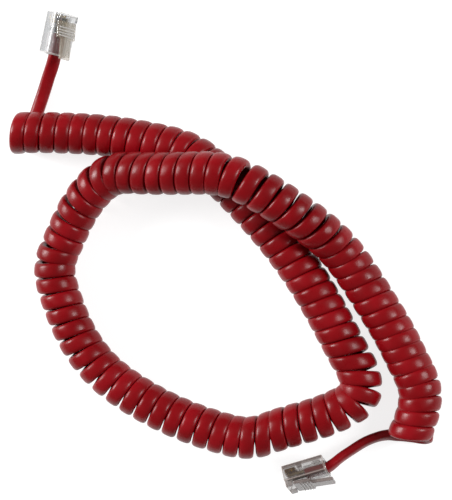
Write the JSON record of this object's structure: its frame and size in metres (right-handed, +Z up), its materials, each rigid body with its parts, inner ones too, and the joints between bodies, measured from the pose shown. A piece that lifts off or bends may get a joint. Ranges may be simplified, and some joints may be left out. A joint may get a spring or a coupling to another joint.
{
  "type": "coiled telephone handset cord",
  "caption": "Coiled flat handset cord lying in a loose loop that crosses over itself, with a short straight tail and a clear latching modular plug at each end.",
  "frame": {"origin": "on the plane the cord lies on, under the middle of its outer box", "axes": "+Z up; +Y along the longer side of the area that the lying cord covers, with both plugs' cable ends towards the coil; +X along the shorter side"},
  "size_m": [0.1202, 0.1352, 0.023],
  "materials": {
    "jacket": "glossy",
    "clear_plastic": "polished",
    "gold": "polished",
    "core_black": "satin",
    "core_red": "satin",
    "core_green": "satin",
    "core_yellow": "satin"
  },
  "bodies": {
    "root": {"coiled_cord": "jacket", "cord_tail_a": "jacket", "cord_tail_b": "jacket", "plug_a_body": "clear_plastic", "plug_a_contact_1": "gold", "plug_a_contact_2": "gold", "plug_a_contact_3": "gold", "plug_a_contact_4": "gold", "plug_a_jacket_clamp": "clear_plastic", "plug_a_conductor_clamp": "clear_plastic", "plug_a_core_black": "core_black", "plug_a_core_red": "core_red", "plug_a_core_green": "core_green", "plug_a_core_yellow": "core_yellow", "plug_b_body": "clear_plastic", "plug_b_contact_1": "gold", "plug_b_contact_2": "gold", "plug_b_contact_3": "gold", "plug_b_contact_4": "gold", "plug_b_jacket_clamp": "clear_plastic", "plug_b_conductor_clamp": "clear_plastic", "plug_b_core_black": "core_black", "plug_b_core_red": "core_red", "plug_b_core_green": "core_green", "plug_b_core_yellow": "core_yellow"},
    "plug_a_lever": {"plug_a_latch": "clear_plastic"},
    "plug_b_lever": {"plug_b_latch": "clear_plastic"}
  },
  "joints": [
    {"name": "plug_a_latch_hinge", "type": "hinge", "parent": "root", "child": "plug_a_lever", "pos_m": [-0.04404, 0.06359, 0.0063], "axis": [0.6276, -0.1391, -0.766], "range_deg": [0, 14], "stiffness_Nm_per_rad": 0.15},
    {"name": "plug_b_latch_hinge", "type": "hinge", "parent": "root", "child": "plug_b_lever", "pos_m": [0.0215, -0.06489, 0.00615], "axis": [-0.1912, 0.5257, 0.8289], "range_deg": [0, 8], "stiffness_Nm_per_rad": 0.15}
  ]
}
